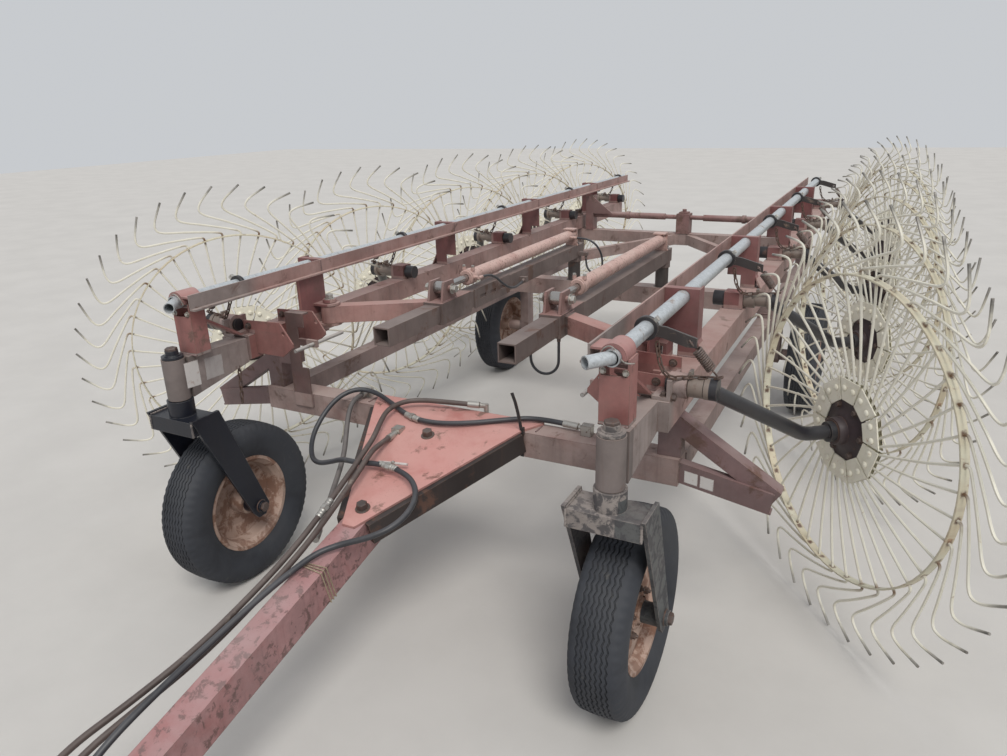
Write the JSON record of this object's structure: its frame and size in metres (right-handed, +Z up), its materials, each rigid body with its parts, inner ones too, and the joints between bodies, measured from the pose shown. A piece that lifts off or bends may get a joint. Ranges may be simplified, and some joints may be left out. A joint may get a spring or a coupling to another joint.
{
  "type": "wheel rake",
  "caption": "Towed wheel rake folded for transport: box-tube frame and tongue, two hinged beams on casters, dished tine wheels along both sides.",
  "frame": {"origin": "centre of the bounding box in plan, on the ground under the tyres", "axes": "+Z up, +Y towards the rear along the line of travel, the tongue points to -Y, X across"},
  "size_m": [3.7752, 7.6472, 1.5582],
  "materials": {
    "faded_red": "worn",
    "galvanised": "satin",
    "tine_cream": "worn",
    "rim_rust": "rusty",
    "black_steel": "worn",
    "rusty_steel": "rusty",
    "bright_rod": "polished",
    "tyre": "matte",
    "hose": "matte"
  },
  "bodies": {
    "frame": {"a_frame": "faded_red", "beam_rests": "faded_red", "cover_plate": "faded_red", "hose_couplers": "bright_rod", "hose_fittings": "bright_rod", "hose_supply_black": "hose", "hose_supply_grey": "hose", "hose_supply_inner": "hose", "hose_supply_outer": "hose", "main_frame": "faded_red", "rear_tower": "faded_red", "tongue": "faded_red"},
    "beam_right": {"lift_pipe_right": "galvanised", "lift_springs_right": "rusty_steel", "rake_beam_right": "faded_red", "wheel_arms_right": "black_steel"},
    "swing_right": {"swing_tube_right": "faded_red", "fold_barrel_right": "faded_red"},
    "slide_right": {"slide_right": "faded_red", "fold_rod_right": "bright_rod", "hose_line_slide": "hose"},
    "caster_right": {"caster_fork_right": "black_steel"},
    "caster_wheel_right": {"caster_tyre_right": "tyre", "caster_rim_right": "rim_rust"},
    "main_wheel_right": {"main_tyre_right": "tyre", "main_rim_right": "rim_rust"},
    "rake_wheel_right_1": {"rake_wheel_right_1": "tine_cream"},
    "rake_wheel_right_2": {"rake_wheel_right_2": "tine_cream"},
    "rake_wheel_right_3": {"rake_wheel_right_3": "tine_cream"},
    "rake_wheel_right_4": {"rake_wheel_right_4": "tine_cream"},
    "rake_wheel_right_5": {"rake_wheel_right_5": "tine_cream"},
    "beam_left": {"lift_pipe_left": "galvanised", "lift_springs_left": "rusty_steel", "rake_beam_left": "faded_red", "wheel_arms_left": "black_steel"},
    "swing_left": {"swing_tube_left": "faded_red", "fold_barrel_left": "faded_red", "hose_line_front": "hose", "hose_line_rear": "hose"},
    "slide_left": {"slide_left": "faded_red", "fold_rod_left": "bright_rod"},
    "caster_left": {"caster_fork_left": "black_steel"},
    "caster_wheel_left": {"caster_tyre_left": "tyre", "caster_rim_left": "rim_rust"},
    "main_wheel_left": {"main_tyre_left": "tyre", "main_rim_left": "rim_rust"},
    "rake_wheel_left_1": {"rake_wheel_left_1": "tine_cream"},
    "rake_wheel_left_2": {"rake_wheel_left_2": "tine_cream"},
    "rake_wheel_left_3": {"rake_wheel_left_3": "tine_cream"},
    "rake_wheel_left_4": {"rake_wheel_left_4": "tine_cream"},
    "rake_wheel_left_5": {"rake_wheel_left_5": "tine_cream"}
  },
  "joints": [
    {"name": "beam_fold_right", "type": "hinge", "parent": "frame", "child": "beam_right", "pos_m": [0.89, 1.80135, 0.9], "axis": [0, 0, 1], "range_deg": [0, 18]},
    {"name": "swing_right", "type": "hinge", "parent": "frame", "child": "swing_right", "pos_m": [0.28, 0.22135, 1], "axis": [0, 0, 1], "range_deg": [0, 31.2]},
    {"name": "slide_right", "type": "slide", "parent": "swing_right", "child": "slide_right", "axis": [0, -1, 0], "range_m": [0, 0.414]},
    {"name": "caster_swivel_right", "type": "hinge", "parent": "beam_right", "child": "caster_right", "pos_m": [0.865, -2.31865, 0.9], "axis": [0, 0, 1], "continuous": true},
    {"name": "caster_spin_right", "type": "hinge", "parent": "caster_right", "child": "caster_wheel_right", "pos_m": [0.865, -2.11865, 0.345], "axis": [1, 0, 0], "continuous": true},
    {"name": "main_spin_right", "type": "hinge", "parent": "frame", "child": "main_wheel_right", "pos_m": [1.08, 0.79135, 0.345], "axis": [1, 0, 0], "continuous": true},
    {"name": "rake_spin_right_1", "type": "hinge", "parent": "beam_right", "child": "rake_wheel_right_1", "pos_m": [1.425, -1.41865, 0.795], "axis": [0.7923, 0.6101, 0], "continuous": true},
    {"name": "rake_spin_right_2", "type": "hinge", "parent": "beam_right", "child": "rake_wheel_right_2", "pos_m": [1.425, -0.25865, 0.795], "axis": [0.7923, 0.6101, 0], "continuous": true},
    {"name": "rake_spin_right_3", "type": "hinge", "parent": "beam_right", "child": "rake_wheel_right_3", "pos_m": [1.425, 0.90135, 0.795], "axis": [0.7923, 0.6101, 0], "continuous": true},
    {"name": "rake_spin_right_4", "type": "hinge", "parent": "beam_right", "child": "rake_wheel_right_4", "pos_m": [1.425, 2.06135, 0.795], "axis": [0.7923, 0.6101, 0], "continuous": true},
    {"name": "rake_spin_right_5", "type": "hinge", "parent": "beam_right", "child": "rake_wheel_right_5", "pos_m": [1.425, 3.22135, 0.795], "axis": [0.7923, 0.6101, 0], "continuous": true},
    {"name": "beam_fold_left", "type": "hinge", "parent": "frame", "child": "beam_left", "pos_m": [-0.89, 1.80135, 0.9], "axis": [0, 0, -1], "range_deg": [0, 18]},
    {"name": "swing_left", "type": "hinge", "parent": "frame", "child": "swing_left", "pos_m": [-0.28, 0.22135, 1], "axis": [0, 0, -1], "range_deg": [0, 31.2]},
    {"name": "slide_left", "type": "slide", "parent": "swing_left", "child": "slide_left", "axis": [0, -1, 0], "range_m": [0, 0.414]},
    {"name": "caster_swivel_left", "type": "hinge", "parent": "beam_left", "child": "caster_left", "pos_m": [-0.865, -2.31865, 0.9], "axis": [0, 0, 1], "continuous": true},
    {"name": "caster_spin_left", "type": "hinge", "parent": "caster_left", "child": "caster_wheel_left", "pos_m": [-0.865, -2.11865, 0.345], "axis": [1, 0, 0], "continuous": true},
    {"name": "main_spin_left", "type": "hinge", "parent": "frame", "child": "main_wheel_left", "pos_m": [-1.08, 0.79135, 0.345], "axis": [1, 0, 0], "continuous": true},
    {"name": "rake_spin_left_1", "type": "hinge", "parent": "beam_left", "child": "rake_wheel_left_1", "pos_m": [-1.425, -1.41865, 0.795], "axis": [-0.7923, 0.6101, 0], "continuous": true},
    {"name": "rake_spin_left_2", "type": "hinge", "parent": "beam_left", "child": "rake_wheel_left_2", "pos_m": [-1.425, -0.25865, 0.795], "axis": [-0.7923, 0.6101, 0], "continuous": true},
    {"name": "rake_spin_left_3", "type": "hinge", "parent": "beam_left", "child": "rake_wheel_left_3", "pos_m": [-1.425, 0.90135, 0.795], "axis": [-0.7923, 0.6101, 0], "continuous": true},
    {"name": "rake_spin_left_4", "type": "hinge", "parent": "beam_left", "child": "rake_wheel_left_4", "pos_m": [-1.425, 2.06135, 0.795], "axis": [-0.7923, 0.6101, 0], "continuous": true},
    {"name": "rake_spin_left_5", "type": "hinge", "parent": "beam_left", "child": "rake_wheel_left_5", "pos_m": [-1.425, 3.22135, 0.795], "axis": [-0.7923, 0.6101, 0], "continuous": true}
  ],
  "couplings": [
    {"joint": "swing_right", "follows": "beam_fold_right", "ratio": 1.68},
    {"joint": "slide_right", "follows": "beam_fold_right", "m_per_rad": 1.303},
    {"joint": "swing_left", "follows": "beam_fold_left", "ratio": 1.68},
    {"joint": "slide_left", "follows": "beam_fold_left", "m_per_rad": 1.303}
  ]
}
